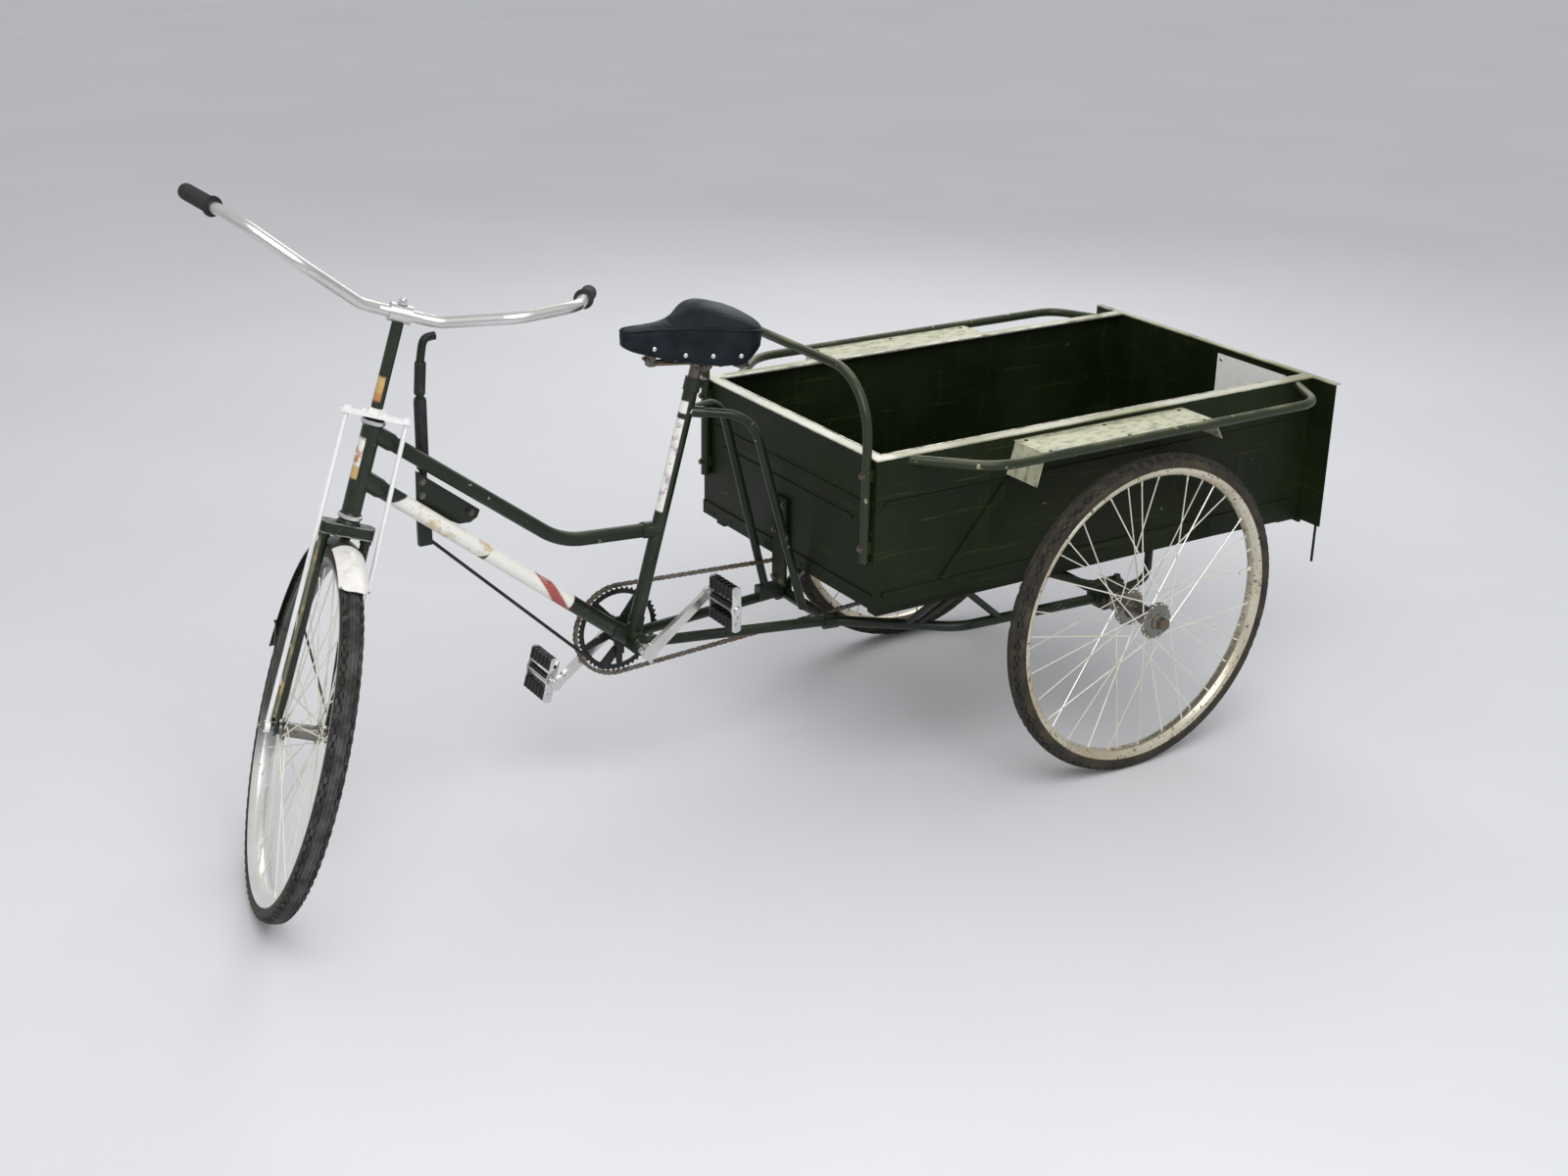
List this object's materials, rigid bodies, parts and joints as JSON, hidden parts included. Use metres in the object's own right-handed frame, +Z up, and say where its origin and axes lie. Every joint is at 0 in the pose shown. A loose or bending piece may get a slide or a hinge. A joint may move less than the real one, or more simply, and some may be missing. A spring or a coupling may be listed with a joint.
{
  "type": "cargo tricycle",
  "caption": "Pedal cargo tricycle: steered front wheel, open steel load box with hinged tail board between two spoked rear wheels, chain drive and saddle.",
  "frame": {"origin": "on the floor, under the middle of the outside box of the whole tricycle with its steering turned as in the picture", "axes": "+X forward, +Y to the rider's left, +Z up"},
  "size_m": [2.4086, 0.99, 1.3068],
  "materials": {
    "frame_paint": "worn semi-gloss",
    "box_paint": "worn satin",
    "panel_paint": "aged gloss with stains",
    "chrome": "aged polish",
    "wheel_chrome": "tarnished",
    "steel": "oiled, dark",
    "tyre": "dusty",
    "rubber": "matt",
    "saddle_cover": "vinyl grain",
    "blank_white": "satin",
    "guard_top": "worn satin"
  },
  "bodies": {
    "frame": {"bottom_bracket": "frame_paint", "box_bearers": "box_paint", "box_floor": "box_paint", "box_front": "box_paint", "box_side_left": "box_paint", "box_side_right": "box_paint", "brake_bracket": "frame_paint", "brake_linkage": "frame_paint", "chain": "steel", "chassis": "frame_paint", "down_tube": "panel_paint", "drop_plate": "box_paint", "front_arch": "box_paint", "head_tube": "frame_paint", "mudguard_left": "guard_top", "mudguard_right": "guard_top", "saddle": "saddle_cover", "saddle_frame": "steel", "seat_stays": "frame_paint", "seat_tube": "frame_paint", "side_hoop_left": "box_paint", "side_hoop_right": "box_paint", "tail_hinges": "steel", "top_tube": "frame_paint"},
    "steering": {"fork": "frame_paint", "truss_rods": "chrome", "stem": "frame_paint", "handlebar": "chrome", "grips": "rubber", "front_mudguard": "frame_paint", "front_axle": "chrome"},
    "front_wheel_body": {"front_tyre": "tyre", "front_wheel": "wheel_chrome"},
    "rear_left_body": {"rear_tyre_left": "tyre", "rear_wheel_left": "wheel_chrome"},
    "rear_shaft_body": {"rear_shaft": "steel", "rear_tyre_right": "tyre", "rear_wheel_right": "wheel_chrome"},
    "crank_body": {"cranks": "chrome", "chainwheel": "steel"},
    "left_pedal_body": {"pedal_left": "rubber"},
    "right_pedal_body": {"pedal_right": "rubber"},
    "tail_board_body": {"tail_board": "box_paint", "blank_plate": "blank_white"}
  },
  "joints": [
    {"name": "steer", "type": "hinge", "parent": "frame", "child": "steering", "pos_m": [0.89484, 0, 0.8138], "axis": [-0.3098, 0, 0.9508], "range_deg": [-156, 2]},
    {"name": "front_wheel_turn", "type": "hinge", "parent": "steering", "child": "front_wheel_body", "pos_m": [1.05725, 0.0341, 0.34085], "axis": [-0.9264, 0.225, -0.3019], "continuous": true},
    {"name": "rear_left_turn", "type": "hinge", "parent": "frame", "child": "rear_left_body", "pos_m": [-0.65234, 0.425, 0.355], "axis": [0, 1, 0], "continuous": true},
    {"name": "rear_shaft_turn", "type": "hinge", "parent": "frame", "child": "rear_shaft_body", "pos_m": [-0.65234, 0, 0.355], "axis": [0, 1, 0], "continuous": true},
    {"name": "crank_turn", "type": "hinge", "parent": "frame", "child": "crank_body", "pos_m": [0.34566, 0, 0.358], "axis": [0, 1, 0], "continuous": true},
    {"name": "left_pedal_turn", "type": "hinge", "parent": "crank_body", "child": "left_pedal_body", "pos_m": [0.20989, 0.13, 0.46031], "axis": [0, 1, 0], "continuous": true},
    {"name": "right_pedal_turn", "type": "hinge", "parent": "crank_body", "child": "right_pedal_body", "pos_m": [0.48143, -0.13, 0.25569], "axis": [0, 1, 0], "continuous": true},
    {"name": "tail_board_hinge", "type": "hinge", "parent": "frame", "child": "tail_board_body", "pos_m": [-1.19834, 0, 0.437], "axis": [0, -1, 0], "range_deg": [0, 100]}
  ]
}
